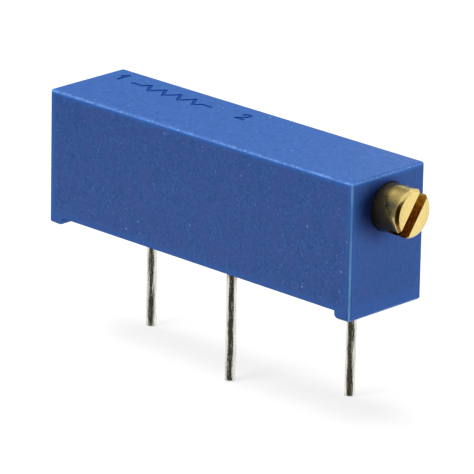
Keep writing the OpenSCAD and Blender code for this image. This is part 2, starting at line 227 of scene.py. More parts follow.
class Shader:
    """A material's nodes. Lengths in its patterns are in millimetres."""

    def __init__(self, name, colour, roughness, metallic=0.0, **sockets):
        self.material = bpy.data.materials.new(name)
        self.material.use_nodes = True
        self.tree = self.material.node_tree
        self.surface = self.tree.nodes["Principled BSDF"]
        self.set("Base Color", colour)
        self.set("Roughness", roughness)
        self.set("Metallic", metallic)
        for socket, value in sockets.items():
            self.set(socket.replace("_", " "), value)
        place = self.node("ShaderNodeTexCoord").outputs["Object"]
        self.place = self.vector("SCALE", place, Scale=1 / MM)
        self.x, self.y, self.z = self.parts(self.place)

    def set(self, socket, value):
        """Sets a socket of the surface, or links it when value is another node's output."""
        self.put(self.surface.inputs[socket], value)

    def put(self, socket, value):
        """Sets any node's socket, or links it when value is another node's output."""
        if isinstance(value, bpy.types.NodeSocket):
            self.tree.links.new(value, socket)
        else:
            socket.default_value = value

    def node(self, kind, **settings):
        """A new node."""
        made = self.tree.nodes.new(kind)
        for name, value in settings.items():
            setattr(made, name, value)
        return made

    def math(self, operation, *values):
        """The result of a maths node on the values."""
        made = self.node("ShaderNodeMath", operation=operation)
        for socket, value in zip(made.inputs, values):
            self.put(socket, value)
        return made.outputs[0]

    def times(self, first, *others):
        """The product of its values."""
        product = first
        for value in others:
            product = self.math("MULTIPLY", product, value)
        return product

    def most(self, first, second):
        """The larger of two values."""
        return self.math("MAXIMUM", first, second)

    def vector(self, operation, *values, **named):
        """The result of a vector maths node on the values."""
        made = self.node("ShaderNodeVectorMath", operation=operation)
        for socket, value in zip(made.inputs, values):
            self.put(socket, value)
        for name, value in named.items():
            self.put(made.inputs[name], value)
        return made.outputs[0]

    def parts(self, vector):
        """The three parts of a vector."""
        made = self.node("ShaderNodeSeparateXYZ")
        self.put(made.inputs[0], vector)
        return made.outputs

    def noise(self, size, detail=2.0, stretch=(1, 1, 1), roughness=0.5, offset=(0, 0, 0)):
        """Noise from 0 to 1 whose features are about size across, times stretch along each axis."""
        scaled = self.vector("MULTIPLY_ADD", self.place, tuple(1 / (size * s) for s in stretch), offset)
        made = self.node("ShaderNodeTexNoise")
        self.put(made.inputs["Vector"], scaled)
        self.put(made.inputs["Scale"], 1.0)
        self.put(made.inputs["Detail"], detail)
        self.put(made.inputs["Roughness"], roughness)
        return made.outputs["Fac"]

    def specks(self, spacing, radius, share):
        """1 in scattered round specks: one for each spacing, kept for only that share of them."""
        scaled = self.vector("MULTIPLY", self.place, (1 / spacing, 1 / spacing, 1 / spacing))
        cells = self.node("ShaderNodeTexVoronoi")
        self.put(cells.inputs["Vector"], scaled)
        self.put(cells.inputs["Scale"], 1.0)
        near = self.ramp(cells.outputs["Distance"], radius / spacing, 0.4 * radius / spacing)
        kept = self.math("LESS_THAN", self.parts(cells.outputs["Color"])[0], share)
        return self.times(near, kept)

    def ramp(self, value, low, high, to_low=0.0, to_high=1.0):
        """Takes value from low to high smoothly over to to_low to to_high."""
        made = self.node("ShaderNodeMapRange", interpolation_type="SMOOTHSTEP")
        for socket, number in zip(made.inputs, (value, low, high, to_low, to_high)):
            self.put(socket, number)
        return made.outputs[0]

    def fade(self, part, level, start, stop, to_start=0.0, to_stop=1.0):
        """Ramp of one part of the place between two distances past level, which is in metres."""
        return self.ramp(part, level / MM + start, level / MM + stop, to_start, to_stop)

    def mix(self, share, first, second):
        """first where share is 0 and second where it is 1."""
        made = self.node("ShaderNodeMix", data_type="RGBA")
        self.put(made.inputs[0], share)
        self.put(made.inputs[6], first)
        self.put(made.inputs[7], second)
        return made.outputs[2]

    def bump(self, *layers):
        """Adds layers of relief, each as (height from 0 to 1, depth in millimetres)."""
        normal = None
        for height, depth in layers:
            made = self.node("ShaderNodeBump")
            self.put(made.inputs["Strength"], 1.0)
            self.put(made.inputs["Distance"], depth * MM)
            self.put(made.inputs["Height"], height)
            if normal:
                self.put(made.inputs["Normal"], normal)
            normal = made.outputs["Normal"]
        self.set("Normal", normal)


def shade(colour, factor):
    """colour made darker or lighter."""
    return tuple(min(1.0, part * factor) for part in colour[:3]) + (1.0,)


def box_edges(s, low, high, inner, outer):
    """1 along the upright edges of a box, and along its level ones, fading to 0 on its faces."""
    middle, half = (low + high) / 2 / MM, (high - low) / 2 / MM
    away = s.vector("ABSOLUTE", s.vector("SUBTRACT", s.place, tuple(middle)))
    x, y, z = (s.ramp(part, h - inner, h - outer) for part, h in zip(s.parts(away), half))
    return s.times(x, y), s.times(z, s.most(x, y))


def moulded_blue(s, mottle, streaks, clouds, top):
    """The moulding's colour away from its edges, more even on its top face."""
    colour = s.mix(s.ramp(mottle, 0.36, 0.64), shade(BLUE, 0.72), shade(BLUE, 1.20))
    colour = s.mix(s.times(top, 0.6), colour, BLUE)
    blotches = s.noise(0.55, 3, (1, 1, 1.3), 0.6, (2, 9, 4))
    colour = s.mix(s.ramp(blotches, 0.5, 0.7, 0.0, 0.55), colour, shade(BLUE, 0.76))
    colour = s.mix(s.ramp(streaks, 0.5, 0.7, 0.0, 0.35), colour, shade(BLUE, 0.84))
    off_top = s.math("SUBTRACT", 1.0, top)
    return s.mix(s.times(s.ramp(clouds, 0.35, 0.65, 0.1, 0.7), off_top), colour, PURPLE_CAST)


def end_face_and_head_shadow(s, colour, face_x, axis):
    """Gives the end face its own cast, and paints the shadow of the screw's head on it, darkest round the screw
    and off to its -Y side.
    """
    off_centre, edge, full = 0.4, 1.9, 1.0
    on_end = s.fade(s.x, face_x, -0.05, -0.01)
    across = s.math("SUBTRACT", s.y, axis[1] / MM - off_centre)
    above = s.math("SUBTRACT", s.z, axis[2] / MM)
    distance = s.math("SQRT", s.math("ADD", s.times(across, across), s.times(above, above)))
    colour = s.mix(s.times(on_end, 0.45), colour, END_CAST)
    return s.mix(s.times(on_end, s.ramp(distance, edge, full), 0.8), colour, HEAD_SHADOW_BLUE)


def painted_rim_light(s, low, high):
    """Where light is painted on the moulding as a brighter blue: along its edges, more at the far end, and towards
    its foot.
    """
    upright, level = box_edges(s, low, high, 0.34, 0.12)
    level = s.times(level, s.fade(s.z, high.z, -0.06, -0.17))
    far = s.times(box_edges(s, low, high, 0.58, 0.20)[0], s.fade(s.x, low.x, 1.0, 0.8))
    skirt = s.fade(s.z, low.z, 0.85, 0.50, 0.0, 0.5)
    return s.most(s.most(upright, level), s.most(far, skirt))


def painted_edge_highlights(s, colour, low, high):
    """Paints highlights along the edges in a paler colour, broken up by noise, strongest low down on the upright
    ones.
    """
    upright, level = box_edges(s, low, high, 0.135, 0.05)
    broken_up = s.ramp(s.noise(0.4, 5, (1, 1, 2), 0.7), 0.36, 0.60, 0.7, 1.0)
    lower = s.fade(s.z, high.z, -2.3, -3.3, 0.6, 1.0)
    upper = s.fade(s.z, high.z, -1.2, -0.7, 0.6, 0.9)
    colour = s.mix(s.times(upright, broken_up, s.most(lower, upper)), colour, UPRIGHT_EDGE_HIGHLIGHT)
    dotted = s.ramp(s.noise(0.16, 4, roughness=0.7, offset=(3, 5, 2)), 0.48, 0.64, 0.30, 1.0)
    return s.mix(s.times(level, dotted, 0.7), colour, LEVEL_EDGE_HIGHLIGHT)


def specked(s, colour):
    """Scatters pale specks of two sizes and a few dark ones over the colour."""
    for spacing, radius, share, strength in PALE_SPECKS:
        pale = s.times(s.specks(spacing, radius, share), strength)
        colour = s.mix(pale, colour, PALE_SPECK)
    return s.mix(s.times(s.specks(0.6, 0.06, 0.30), 0.5), colour, shade(BLUE, 0.35))


def housing_material(low, high, axis):
    """Blue thermoset: mottled, with faint upright flow streaks and pale specks, and painted light and shade:
    highlights along its edges, brighter edges and foot, and the screw head's shadow on the end face.
    """
    s = Shader("blue_thermoset", BLUE, 0.5, Specular_IOR_Level=0.25)
    mottle = s.noise(0.16, 4, roughness=0.65)
    streaks = s.noise(0.22, 3, (1, 1, 4), 0.6, (7, 3, 1))
    clouds = s.noise(0.9, 4, roughness=0.6)
    colour = moulded_blue(s, mottle, streaks, clouds, s.fade(s.z, high.z, -0.05, -0.01))
    # Painted shadow of the screw's head on the end face
    colour = end_face_and_head_shadow(s, colour, high.x, axis)
    # Painted light along the edges and towards the foot
    colour = s.mix(s.times(painted_rim_light(s, low, high), 0.75), colour, RIM_PAINTED_LIGHT)
    # Painted highlights along the edges
    colour = painted_edge_highlights(s, colour, low, high)
    s.set("Base Color", specked(s, colour))
    s.set("Roughness", s.ramp(s.noise(0.3, 4), 0.3, 0.7, 0.44, 0.58))
    s.bump((clouds, 0.010), (streaks, 0.004), (mottle, 0.010))
    return s.material


def shaded_mark_material():
    """Bottom of the pressed marks, painted a deeper blue as the shade in them."""
    s = Shader("blue_thermoset_mark", SHADED_MARK_BLUE, 0.5, Specular_IOR_Level=0.12)
    s.set("Base Color", s.mix(s.noise(0.06, 3), shade(SHADED_MARK_BLUE, 0.6), shade(SHADED_MARK_BLUE, 1.4)))
    s.bump((s.noise(0.05, 3), 0.006))
    return s.material


def painted_rim_reflection(s, head_end, axis):
    """1 on one side of the rim's chamfer, where a dark reflection is painted in brown."""
    side_y, side_z = -0.95, -0.30
    middle = (side_y * axis[1] + side_z * axis[2]) / MM
    side = s.math("MULTIPLY_ADD", s.z, side_z, s.math("MULTIPLY_ADD", s.y, side_y, -middle))
    chamfer = s.fade(s.x, head_end - RIM_CHAMFER, -0.01, 0.02)
    return s.times(chamfer, s.ramp(side, 0.30, 0.80))


def painted_barrel_shade(s, patches, head_end, face_x, axis):
    """Share of painted shade on the barrel, from the housing to an uneven slanted border, clear of the rim."""
    slope = 0.67
    out_and_up = s.math("MULTIPLY_ADD", s.z, slope, s.math("MULTIPLY_ADD", patches, 0.25, s.x))
    start = (face_x + slope * axis[2]) / MM
    return s.times(s.ramp(out_and_up, start + 1.62, start + 1.0), s.fade(s.x, head_end, -0.16, -0.36))


def brass_material(head_end, face_x, axis):
    """Turned brass: rings along the barrel and a grainy pale face, with tarnish by the housing that is partly
    painted shade, painted shade low on the barrel and a painted dark reflection on the rim's chamfer.
    """
    s = Shader("turned_brass", BRASS, 0.3, 1.0, Specular_IOR_Level=0.2)
    rings = s.noise(0.04, 3, (1, 30, 30), 0.6)
    grain = s.noise(0.06, 5, roughness=0.7)
    patches = s.noise(0.32, 3)
    on_face = s.fade(s.x, head_end, -0.02, -0.004)
    face = s.mix(s.ramp(grain, 0.36, 0.60), shade(BRASS, 0.86), shade(BRASS, 1.07))
    barrel = s.mix(s.ramp(patches, 0.4, 0.62, 0.1, 0.45), face, BRASS_PATCH)
    # Tarnish by the housing, partly painted shade where the barrel is darker beside it
    tarnish_and_shade = s.times(s.fade(s.x, face_x, 1.45, 0.1), s.ramp(patches, 0.3, 0.6, 0.7, 1.0))
    barrel = s.mix(s.times(tarnish_and_shade, 0.88), barrel, TARNISH_AND_SHADE)
    # Painted shade low on the barrel next to the housing
    barrel_shade_share = painted_barrel_shade(s, patches, head_end, face_x, axis)
    barrel = s.mix(s.times(barrel_shade_share, 0.96), barrel, BARREL_SHADE)
    # Painted dark reflection on one side of the rim's chamfer
    barrel = s.mix(painted_rim_reflection(s, head_end, axis), barrel, RIM_DARK_REFLECTION)
    s.set("Base Color", s.mix(on_face, barrel, face))
    # The painted shade is less metallic, so that it stays dark
    s.set("Metallic", s.ramp(barrel_shade_share, 0.7, 1.0, 1.0, 0.4))
    barrel_gloss = s.ramp(rings, 0.3, 0.7, 0.20, 0.32)
    face_gloss = s.ramp(grain, 0.3, 0.7, 0.20, 0.34)
    s.set("Roughness", s.mix(on_face, barrel_gloss, face_gloss))
    barrel_relief = s.times(rings, s.math("SUBTRACT", 1.0, on_face))
    s.bump((barrel_relief, 0.003), (s.times(grain, on_face), 0.009), (patches, 0.0012))
    return s.material


def slot_material(head_end, axis):
    """Walls of the sawn slot: a brown darker than the brass, partly painted shade, with a painted highlight at its
    upper end and painted shade deep in its lower one.
    """
    s = Shader("brass_slot", SLOT_BROWN, 0.42, 1.0)
    colour = s.mix(s.ramp(s.noise(0.12, 4), 0.35, 0.7), shade(SLOT_BROWN, 0.6), shade(SLOT_BROWN, 1.5))
    upper = s.fade(s.z, axis[2], 0.55, 0.85)
    lower = s.times(s.fade(s.z, axis[2], -0.45, -0.65), s.fade(s.x, head_end, -0.45, -0.65))
    # Painted highlight at the slot's upper end
    colour = s.mix(s.times(upper, 0.8), colour, SLOT_HIGHLIGHT)
    # Painted shade deep in its lower end
    s.set("Base Color", s.mix(lower, colour, SLOT_SHADE))
    s.bump((s.noise(0.04, 2, (1, 8, 8)), 0.006))
    return s.material


def tin_material():
    """Hot tin on wire: long runs and beads, and painted brown shade where it leaves the resin."""
    s = Shader("tinned_wire", TIN, 0.2, 1.0)
    runs = s.noise(0.11, 4, (1, 1, 6), 0.6)
    beads = s.noise(0.09, 3)
    colour = s.mix(s.ramp(runs, 0.3, 0.7), shade(TIN, 0.84), shade(TIN, 1.12))
    # Painted brown shade where the wire leaves the resin
    root_shade = s.times(s.ramp(s.z, -0.55, 0.1), s.ramp(s.noise(0.2, 3), 0.3, 0.6, 0.4, 1.0), 0.7)
    s.set("Base Color", s.mix(root_shade, colour, TIN_ROOT_SHADE))
    dull = s.ramp(s.noise(0.14, 3, (1, 1, 7), 0.6, (5, 1, 8)), 0.58, 0.68)
    s.set("Roughness", s.math("MULTIPLY_ADD", dull, 0.30, s.ramp(beads, 0.3, 0.7, 0.06, 0.14)))
    s.bump((runs, 0.036), (beads, 0.005))
    return s.material


def resin_material():
    """Poured resin: nearly black blue, glossy, with small bubbles under its skin."""
    s = Shader("sealing_resin", RESIN, 0.2, Specular_IOR_Level=0.5)
    s.set("Base Color", s.mix(s.ramp(s.noise(0.9, 4), 0.3, 0.7), shade(RESIN, 0.7), shade(RESIN, 1.6)))
    s.set("Roughness", s.ramp(s.noise(0.35, 3), 0.3, 0.7, 0.12, 0.3))
    s.bump((s.noise(1.4, 2), 0.05), (s.specks(0.8, 0.09, 0.3), -0.02))
    return s.material


def speckled(name, colour, roughness, size, spread, depth, stretch=(1, 1, 1), metallic=0.0, **sockets):
    """A plain finish whose colour, gloss and relief vary with one grain."""
    s = Shader(name, colour, roughness, metallic, **sockets)
    grain = s.noise(size, 4, stretch, 0.6)
    wide = s.noise(size * 9, 2, stretch)
    tint = s.mix(s.ramp(grain, 0.3, 0.7), shade(colour, 1 - spread), shade(colour, 1 + spread))
    s.set("Base Color", s.mix(s.ramp(wide, 0.35, 0.65, 0.0, 0.5), tint, shade(colour, 1 - 0.6 * spread)))
    s.set("Roughness", s.ramp(grain, 0.3, 0.7, max(0.05, roughness - 0.08), roughness + 0.08))
    s.bump((grain, depth), (wide, depth))
    return s.material


def inner_materials():
    """Finishes of the pieces inside the housing, by the record's material slot."""
    along_x, along_y = (25, 1, 1), (1, 25, 1)
    return {
        "alumina": speckled("alumina", ALUMINA, 0.6, 0.03, 0.05, 0.004, Subsurface_Weight=0.1),
        "cermet_film": speckled("cermet_film", CERMET, 0.5, 0.02, 0.5, 0.004),
        "silver_film": speckled("silver_film", SILVER, 0.45, 0.02, 0.15, 0.004, metallic=1.0),
        "solder": speckled("solder", SOLDER, 0.24, 0.06, 0.12, 0.010, metallic=1.0),
        "spring_alloy": speckled("spring_alloy", SPRING_ALLOY, 0.3, 0.02, 0.12, 0.002, along_x, 1.0),
        "spring_steel": speckled("spring_steel", SPRING_STEEL, 0.34, 0.02, 0.14, 0.002, along_y, 1.0),
        "seal_rubber": speckled("seal_rubber", RUBBER, 0.62, 0.04, 0.4, 0.006),
        "carriage_plastic": speckled("carriage_plastic", IVORY, 0.45, 0.05, 0.05, 0.004, along_x),
    }


def mesh_piece(name, vertices, faces, materials):
    """A new object at the origin."""
    mesh = bpy.data.meshes.new(name)
    mesh.from_pydata(vertices, [], faces)
    mesh.validate()
    for material in materials:
        mesh.materials.append(material)
    piece = bpy.data.objects.new(name, mesh)
    bpy.context.scene.collection.objects.link(piece)
    return piece


def smooth(piece, sharp_from):
    """Smooth faces with hard edges where the surface turns by more than sharp_from degrees."""
    piece.data.polygons.foreach_set("use_smooth", [True] * len(piece.data.polygons))
    piece.data.set_sharp_from_angle(angle=math.radians(sharp_from))


def apply_modifiers(piece):
    """Makes what the piece's modifiers give its own mesh."""
    finished = piece.evaluated_get(bpy.context.evaluated_depsgraph_get())
    mesh = bpy.data.meshes.new_from_object(finished)
    piece.modifiers.clear()
    piece.data = mesh


def weigh_normals(piece):
    """Keeps flat faces flat in their shading beside rounded edges."""
    modifier = piece.modifiers.new("normals", "WEIGHTED_NORMAL")
    modifier.keep_sharp = True
    apply_modifiers(piece)


def cut(piece, cutter):
    """Takes cutter out of piece. Faces that it leaves have its material index."""
    modifier = piece.modifiers.new("cut", "BOOLEAN")
    modifier.operation = "DIFFERENCE"
    modifier.solver = "EXACT"
    modifier.use_self = True
    modifier.object = cutter
    apply_modifiers(piece)
    bpy.data.objects.remove(cutter)


def second_finish(cutter):
    """Gives the cutter, and so what it leaves when it cuts, the second of the piece's materials."""
    cutter.data.polygons.foreach_set("material_index", [1] * len(cutter.data.polygons))
    return cutter


def mend(piece):
    """Joins the doubled points and slivers that cuts leave, so that the mesh stays closed."""
    mesh = bmesh.new()
    mesh.from_mesh(piece.data)
    bmesh.ops.remove_doubles(mesh, verts=mesh.verts, dist=MEND_REACH)
    bmesh.ops.dissolve_degenerate(mesh, edges=mesh.edges, dist=MEND_REACH)
    mesh.to_mesh(piece.data)
    mesh.free()


def mount(piece, body, slot, *nodes):
    """Attaches the piece to the body it moves with and hides the nodes it stands for. Its slot is not used."""
    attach(piece, body)
    if nodes:
        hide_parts(*nodes)


def revolved(name, rows, centre, axes, segments, materials):
    """A closed turned form, from rows of (place along the axis, radius or its function of the angle)."""
    along, side, up = axes
    vertices, faces = [], []
    for t, radius in rows:
        for i in range(segments):
            angle = TURN * i / segments
            r = radius(angle) if callable(radius) else radius
            vertices.append(centre + along * t + side * (r * math.cos(angle)) + up * (r * math.sin(angle)))
    for row in range(len(rows) - 1):
        for i in range(segments):
            a, b = row * segments + i, row * segments + (i + 1) % segments
            faces.append((a, b, b + segments, a + segments))
    faces.append(tuple(reversed(range(segments))))
    last = (len(rows) - 1) * segments
    faces.append(tuple(range(last, last + segments)))
    return mesh_piece(name, vertices, faces, materials)


def prism(outline, z0, z1):
    """Vertices and faces of an upright prism over an outline of (x, y)."""
    count = len(outline)
    vertices = [(x, y, z) for z in (z0, z1) for x, y in outline]
    faces = [tuple(reversed(range(count))), tuple(range(count, 2 * count))]
    faces += [(i, (i + 1) % count, (i + 1) % count + count, i + count) for i in range(count)]
    return vertices, faces


def side_outline(points, width):
    """One side of a wide line through points: mitred on the inside of its bends, round on the outside."""
    outline = []
    for before, here, after in zip(points, points[1:], points[2:]):
        arrive = math.atan2(here[1] - before[1], here[0] - before[0])
        turn = math.remainder(math.atan2(after[1] - here[1], after[0] - here[0]) - arrive, TURN)
        if turn > 0:
            steps = max(1, math.ceil(turn / ARC_STEP))
            angles = [arrive - TURN / 4 + turn * i / steps for i in range(steps + 1)]
            reach = width / 2
        else:
            angles = [arrive - TURN / 4 + turn / 2]
            reach = width / 2 / math.cos(turn / 2)
        outline += [(here[0] + reach * math.cos(a), here[1] + reach * math.sin(a)) for a in angles]
    return outline


def end_outline(before, end, width):
    """The round end of a wide line."""
    heading = math.atan2(end[1] - before[1], end[0] - before[0])
    steps = math.ceil(TURN / 2 / ARC_STEP)
    angles = [heading - TURN / 4 + TURN / 2 * i / steps for i in range(steps + 1)]
    return [(end[0] + width / 2 * math.cos(a), end[1] + width / 2 * math.sin(a)) for a in angles]


def line_outline(points, width):
    """Outline of a wide line through points, anticlockwise."""
    back = points[::-1]
    outline = side_outline(points, width) + end_outline(points[-2], points[-1], width)
    return outline + side_outline(back, width) + end_outline(back[-2], back[-1], width)

def digit_strokes():
    """The digits 1 and 2 as lines of points, in a unit of height."""
    x, y, radius = 0.31, 0.72, 0.28
    bow = [(x + radius * math.cos(a), y + radius * math.sin(a)) for a in (2.9, 2.3, 1.6, 0.9, 0.2, -0.5)]
    return {"1": [(0.0, 0.68), (0.28, 1.0), (0.28, 0.0)], "2": bow + [(0.02, 0.0), (0.64, 0.0)]}


def symbol_line():
    """The zigzag of a resistor's symbol with its two leads."""
    x0, x1 = SYMBOL_X[0] + SYMBOL_LEAD, SYMBOL_X[1] - SYMBOL_LEAD
    step = (x1 - x0) / SYMBOL_PEAKS
    peaks = [(x0 + (i + 0.5) * step, SYMBOL_Y + (-1) ** i * SYMBOL_SWING) for i in range(SYMBOL_PEAKS)]
    return [(SYMBOL_X[0], SYMBOL_Y), (x0, SYMBOL_Y), *peaks, (x1, SYMBOL_Y), (SYMBOL_X[1], SYMBOL_Y)]


def mark_cutter(middle, top, materials):
    """One cutter for all the marks in the top face."""
    lines = [symbol_line()]
    for digit, place in (("1", DIGIT_ONE), ("2", DIGIT_TWO)):
        lines.append([(place[0] + x * DIGIT_H, place[1] + y * DIGIT_H) for x, y in digit_strokes()[digit]])
    vertices, faces = [], []
    for line in lines:
        outline = [(x + middle.x, y + middle.y) for x, y in line_outline(line, MARK_STROKE)]
        more, sides = prism(outline, top - MARK_DEPTH, top + 2 * MARK_DEPTH)
        faces += [tuple(i + len(vertices) for i in side) for side in sides]
        vertices += more
    return second_finish(mesh_piece("mark_cutter", vertices, faces, materials))


def round_corners(source, low, high):
    """Brings the moulding's outer corners inside the ball that its round edges call for."""
    middle, half = (low + high) / 2, (high - low) / 2
    for vertex in source.verts:
        place = vertex.co - middle
        core = Vector([max(CORNER_R - h, min(h - CORNER_R, p)) for p, h in zip(place, half)])
        outward = place - core
        if outward.length > CORNER_R:
            vertex.co = middle + core + outward * (CORNER_R / outward.length)


def moulding(frame, low, high):
    """Vertices and faces of the CAD housing, with its triangles joined into flat faces."""
    source = bmesh.new()
    source.from_mesh(frame["nodes"]["housing"].data)
    bmesh.ops.remove_doubles(source, verts=source.verts, dist=JOIN_REACH)
    bmesh.ops.dissolve_limit(source, angle_limit=math.radians(0.5), verts=source.verts, edges=source.edges)
    round_corners(source, low, high)
    source.verts.index_update()
    vertices = [v.co.copy() for v in source.verts]
    faces = [tuple(v.index for v in f.verts) for f in source.faces]
    source.free()
    return vertices, faces


def make_housing(frame, axis):
    """The moulding, with its marks pressed into the top face."""
    low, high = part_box("housing")
    vertices, faces = moulding(frame, low, high)
    materials = [housing_material(low, high, axis), shaded_mark_material()]
    shell = mesh_piece("housing_shell", vertices, faces, materials)
    cut(shell, mark_cutter((low + high) / 2, high.z, materials))
    smooth(shell, sharp_from=32)
    weigh_normals(shell)
    mount(shell, "housing_body", "housing", "housing")


def thread_height(x, angle, pitch):
    """Height of the thread's ridge from 0 to 1, for a right-hand thread about +X."""
    phase = (x / pitch - angle / TURN) % 1.0
    slope = (1 - abs(2 * phase - 1) - THREAD_ROOT) / THREAD_FLANKS
    return min(1.0, max(0.0, slope))


def thread_rows(start, stop, pitch):
    """Rows of the threaded length, whose ridge runs out at both ends."""
    root = THREAD_R - THREAD_DEPTH
    count = math.ceil((stop - start) / pitch * THREAD_STEPS)
    rows = []
    for i in range(count + 1):
        x = start + (stop - start) * i / count
        run_out = min(1.0, (x - start) / THREAD_RUN_OUT, (stop - x) / THREAD_RUN_OUT)

        def radius(angle, x=x, height=THREAD_DEPTH * run_out):
            return root + height * thread_height(x, angle, pitch)

        rows.append((x, radius))
    return rows


def barrel_rows(face, end, head_r):
    """Rows of the head outside the housing, with its waist and its chamfered rim."""
    start, stop = face + WAIST_START, end - RIM_CHAMFER - WAIST_STOP
    rows = []
    for i in range(WAIST_STEPS + 1):
        x = start + (stop - start) * i / WAIST_STEPS
        away = min(1.0, abs(x - (stop - WAIST_FROM_RIM)) / WAIST_FROM_RIM)
        swing = (1 + math.cos(math.pi * away)) / 2
        rows.append((x, head_r - WAIST_DEPTH * swing))
    rim = (
        (RIM_CHAMFER + RIM_EDGE, 0),
        (RIM_CHAMFER - RIM_EDGE, RIM_EDGE),
        (RIM_EDGE, RIM_CHAMFER - RIM_EDGE),
        (0, RIM_CHAMFER + RIM_EDGE),
    )
    return rows + [(end - back, head_r - inwards) for back, inwards in rim]


def screw_rows(tip, face, end, head_r, pitch):
    """Rows of the screw from its tip to its face, as places along X and radii."""
    thread_from, seal_to = tip + JOURNAL_L, face - HEAD_INSIDE
    seal_from = seal_to - SEAL_GROOVE_L
    clip_to = seal_from - COLLAR_L
    thread_to = clip_to - CLIP_GROOVE_L
    rows = [(tip, JOURNAL_R - JOURNAL_CHAMFER), (tip + JOURNAL_CHAMFER, JOURNAL_R)]
    rows.append((thread_from, JOURNAL_R))
    rows += thread_rows(thread_from, thread_to, pitch)
    rows += [(thread_to, CLIP_GROOVE_R), (clip_to, CLIP_GROOVE_R)]
    rows += [(clip_to, head_r - HEAD_EDGE), (clip_to + HEAD_EDGE, head_r)]
    rows += [(seal_from - HEAD_EDGE, head_r), (seal_from, head_r - HEAD_EDGE)]
    rows += [(seal_from, SEAL_GROOVE_R), (seal_to, SEAL_GROOVE_R)]
    rows += [(seal_to, head_r - HEAD_EDGE), (seal_to + HEAD_EDGE, head_r)]
    return rows + barrel_rows(face, end, head_r)


def slot_cutter(end, centre, head_r, materials):
    """What the driver's slot takes out of the head, and a little more past its open sides."""
    run = Vector((0, math.cos(SLOT_ANGLE), math.sin(SLOT_ANGLE))) * head_r * SLOT_PAST_SIDES
    across = Vector((0, -math.sin(SLOT_ANGLE), math.cos(SLOT_ANGLE))) * SLOT_W / 2
    depth = Vector((1, 0, 0)) * SLOT_DEPTH
    floor = Vector((end, centre.y, centre.z)) - depth
    ring = ((-1, -1), (1, -1), (1, 1), (-1, 1))
    corners = [floor + run * a + across * b + depth * c for c in (0, SLOT_PAST_END) for a, b in ring]
    sides = [(0, 3, 2, 1), (4, 5, 6, 7), (0, 1, 5, 4), (1, 2, 6, 5), (2, 3, 7, 6), (3, 0, 4, 7)]
    return second_finish(mesh_piece("slot_cutter", corners, sides, materials))


def make_screw(joint, pitch):
    """The adjustment screw, with its thread, grooves and slotted head."""
    low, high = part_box("adjustment_screw")
    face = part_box("housing")[1].x
    head_r = (high.z - low.z) / 2
    centre = Vector((0, joint[1], joint[2]))
    materials = [brass_material(high.x, face, joint), slot_material(high.x, joint)]
    rows = screw_rows(low.x, face, high.x, head_r, pitch)
    screw = revolved("turned_screw", rows, centre, ALONG_X, SCREW_SEGMENTS, materials)
    cut(screw, slot_cutter(high.x, centre, head_r, materials))
    smooth(screw, sharp_from=38)
    weigh_normals(screw)
    mount(screw, "screw_body", "brass", "adjustment_screw")


def nut_points(x0, x1, count, joint, pitch):
    """Points of the half nut's lining, row by row along X: an inner and an outer one at each angle."""
    points = []
    for i in range(count + 1):
        x = x0 + (x1 - x0) * i / count
        for k in range(NUT_SEGMENTS + 1):
            angle = NUT_MIDDLE + NUT_SPAN * (k / NUT_SEGMENTS - 0.5)
            inner = THREAD_R - THREAD_DEPTH + NUT_GAP + THREAD_DEPTH * thread_height(x, angle, pitch)
            for r in (min(inner, NUT_SKIN_R), NUT_OUTER_R):
                points.append((x, joint[1] + r * math.cos(angle), joint[2] + r * math.sin(angle)))
    return points


def nut_faces(count):
    """Faces between the lining's points: inside and outside, along its two sides, and at its two ends."""
    row = 2 * (NUT_SEGMENTS + 1)
    faces = []
    for i in range(count):
        for k in range(NUT_SEGMENTS):
            a = i * row + 2 * k
            faces.append((a, a + row, a + row + 2, a + 2))
            faces.append((a + 1, a + 3, a + row + 3, a + row + 1))
        first, last = i * row, i * row + 2 * NUT_SEGMENTS
        faces.append((first, first + 1, first + row + 1, first + row))
        faces.append((last + row, last + row + 1, last + 1, last))
    for k in range(NUT_SEGMENTS):
        a = 2 * k
        faces.append((a, a + 2, a + 3, a + 1))
    for k in range(NUT_SEGMENTS):
        a = count * row + 2 * k
        faces.append((a + 1, a + 3, a + 2, a))
    return faces


def make_nut(joint, pitch, material):
    """Threaded lining of the carriage's saddle, in mesh with the screw."""
    low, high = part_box("carriage")
    x0, x1 = low.x + NUT_END, high.x - NUT_END
    count = math.ceil((x1 - x0) / pitch * THREAD_STEPS)
    nut = mesh_piece("nut_thread", nut_points(x0, x1, count, joint, pitch), nut_faces(count), [material])
    smooth(nut, sharp_from=40)
    mount(nut, "carriage_body", "carriage_plastic")


def wire_radius(z, base, seed):
    """The uneven radius of tinned wire at a height, for each angle round it."""

    def radius(angle):
        round_x, round_y = math.cos(angle) * WIRE_WAVES_ROUND, math.sin(angle) * WIRE_WAVES_ROUND
        spot = Vector((round_x, round_y, z / MM * WIRE_WAVES_PER_MM)) + seed
        return base + WIRE_WAVE * noise.noise(spot) - WIRE_THINNED

    return radius


def terminal_rows(bottom, top, seed):
    """Rows of a terminal from its round tip to its top, with the stop between."""
    rows = []
    for i in range(WIRE_TIP_STEPS + 1):
        turn = math.pi / 2 * i / WIRE_TIP_STEPS
        rows.append((bottom + WIRE_TIP * (1 - math.cos(turn)), WIRE_R - WIRE_TIP * (1 - math.sin(turn))))
    stretches = (
        (bottom + WIRE_TIP, STOP_Z[0], WIRE_R),
        (STOP_Z[0], STOP_Z[1], STOP_R - STOP_INSET),
        (STOP_Z[1], top, WIRE_R),
    )
    for z0, z1, base in stretches:
        count = max(2, round((z1 - z0) / WIRE_STEP))
        for i in range(count + 1):
            z = z0 + (z1 - z0) * i / count
            rows.append((z, wire_radius(z, base, seed)))
    return rows


def upright_axis(low, high):
    """The point at height 0 that an upright piece with these corners stands round."""
    return Vector(((low.x + high.x) / 2, (low.y + high.y) / 2, 0))


